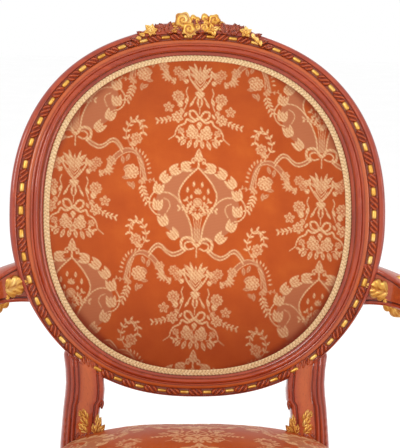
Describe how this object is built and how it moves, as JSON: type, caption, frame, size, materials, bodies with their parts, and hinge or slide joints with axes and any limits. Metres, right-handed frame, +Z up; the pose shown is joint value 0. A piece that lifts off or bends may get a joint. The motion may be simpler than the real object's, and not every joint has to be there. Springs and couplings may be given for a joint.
{
  "type": "upholstered armchair",
  "caption": "Carved and gilded open armchair with a hollow oval padded back, padded arms and a domed stuffed seat on fluted tapering legs",
  "frame": {"origin": "On the floor, under the middle of the bounding box.", "axes": "+Z is up, the sitter faces -Y, and +X is to the right of someone who looks at the chair from in front."},
  "size_m": [0.66, 0.6496, 1.0187],
  "materials": {
    "mahogany": "hand-carved mahogany under a glossy varnish",
    "gilding": "carved wood under burnished gold leaf",
    "beech": "planed beech",
    "iron": "forged iron, dull",
    "steel": "plain steel domes",
    "webbing": "jute webbing",
    "hessian": "coarse hessian",
    "horsehair": "curled horsehair",
    "silk_lampas": "satin ground in copper orange with cream and taupe figures",
    "plain_silk": "plain copper satin",
    "gimp_braid": "woven silk braid",
    "black_cotton": "thin cotton cloth"
  },
  "bodies": {
    "root": {"arm_leaves": "gilding", "arm_tongues": "beech", "back_bottom_rail": "mahogany", "back_cover": "silk_lampas", "back_gimp": "gimp_braid", "back_hessian": "hessian", "back_stuffing": "horsehair", "back_webbing_horizontal": "webbing", "back_webbing_vertical": "webbing", "corner_block_nails": "iron", "corner_blocks": "beech", "crest_leaves": "gilding", "crest_rail": "mahogany", "crest_roses": "gilding", "dust_cover": "black_cotton", "front_seat_rail": "mahogany", "glides": "steel", "left_arm": "mahogany", "left_arm_pad_cover": "silk_lampas", "left_arm_pad_stuffing": "horsehair", "left_arm_post": "mahogany", "left_back_stile": "mahogany", "left_crest_flower": "gilding", "left_front_leg": "mahogany", "left_seat_rail": "mahogany", "leg_rosettes": "gilding", "medallion_tongues": "beech", "outside_back_gimp": "gimp_braid", "outside_back_panel": "plain_silk", "rear_seat_rail": "mahogany", "ribbon_sticks": "gilding", "ribbon_wraps": "gilding", "right_arm": "mahogany", "right_arm_pad_cover": "silk_lampas", "right_arm_pad_stuffing": "horsehair", "right_arm_post": "mahogany", "right_back_stile": "mahogany", "right_crest_flower": "gilding", "right_front_leg": "mahogany", "right_seat_rail": "mahogany", "seat_cover": "silk_lampas", "seat_gimp": "gimp_braid", "seat_hessian": "hessian", "seat_stuffing": "horsehair", "seat_webbing_crosswise": "webbing", "seat_webbing_lengthwise": "webbing", "upright_leaves": "gilding"}
  },
  "joints": []
}
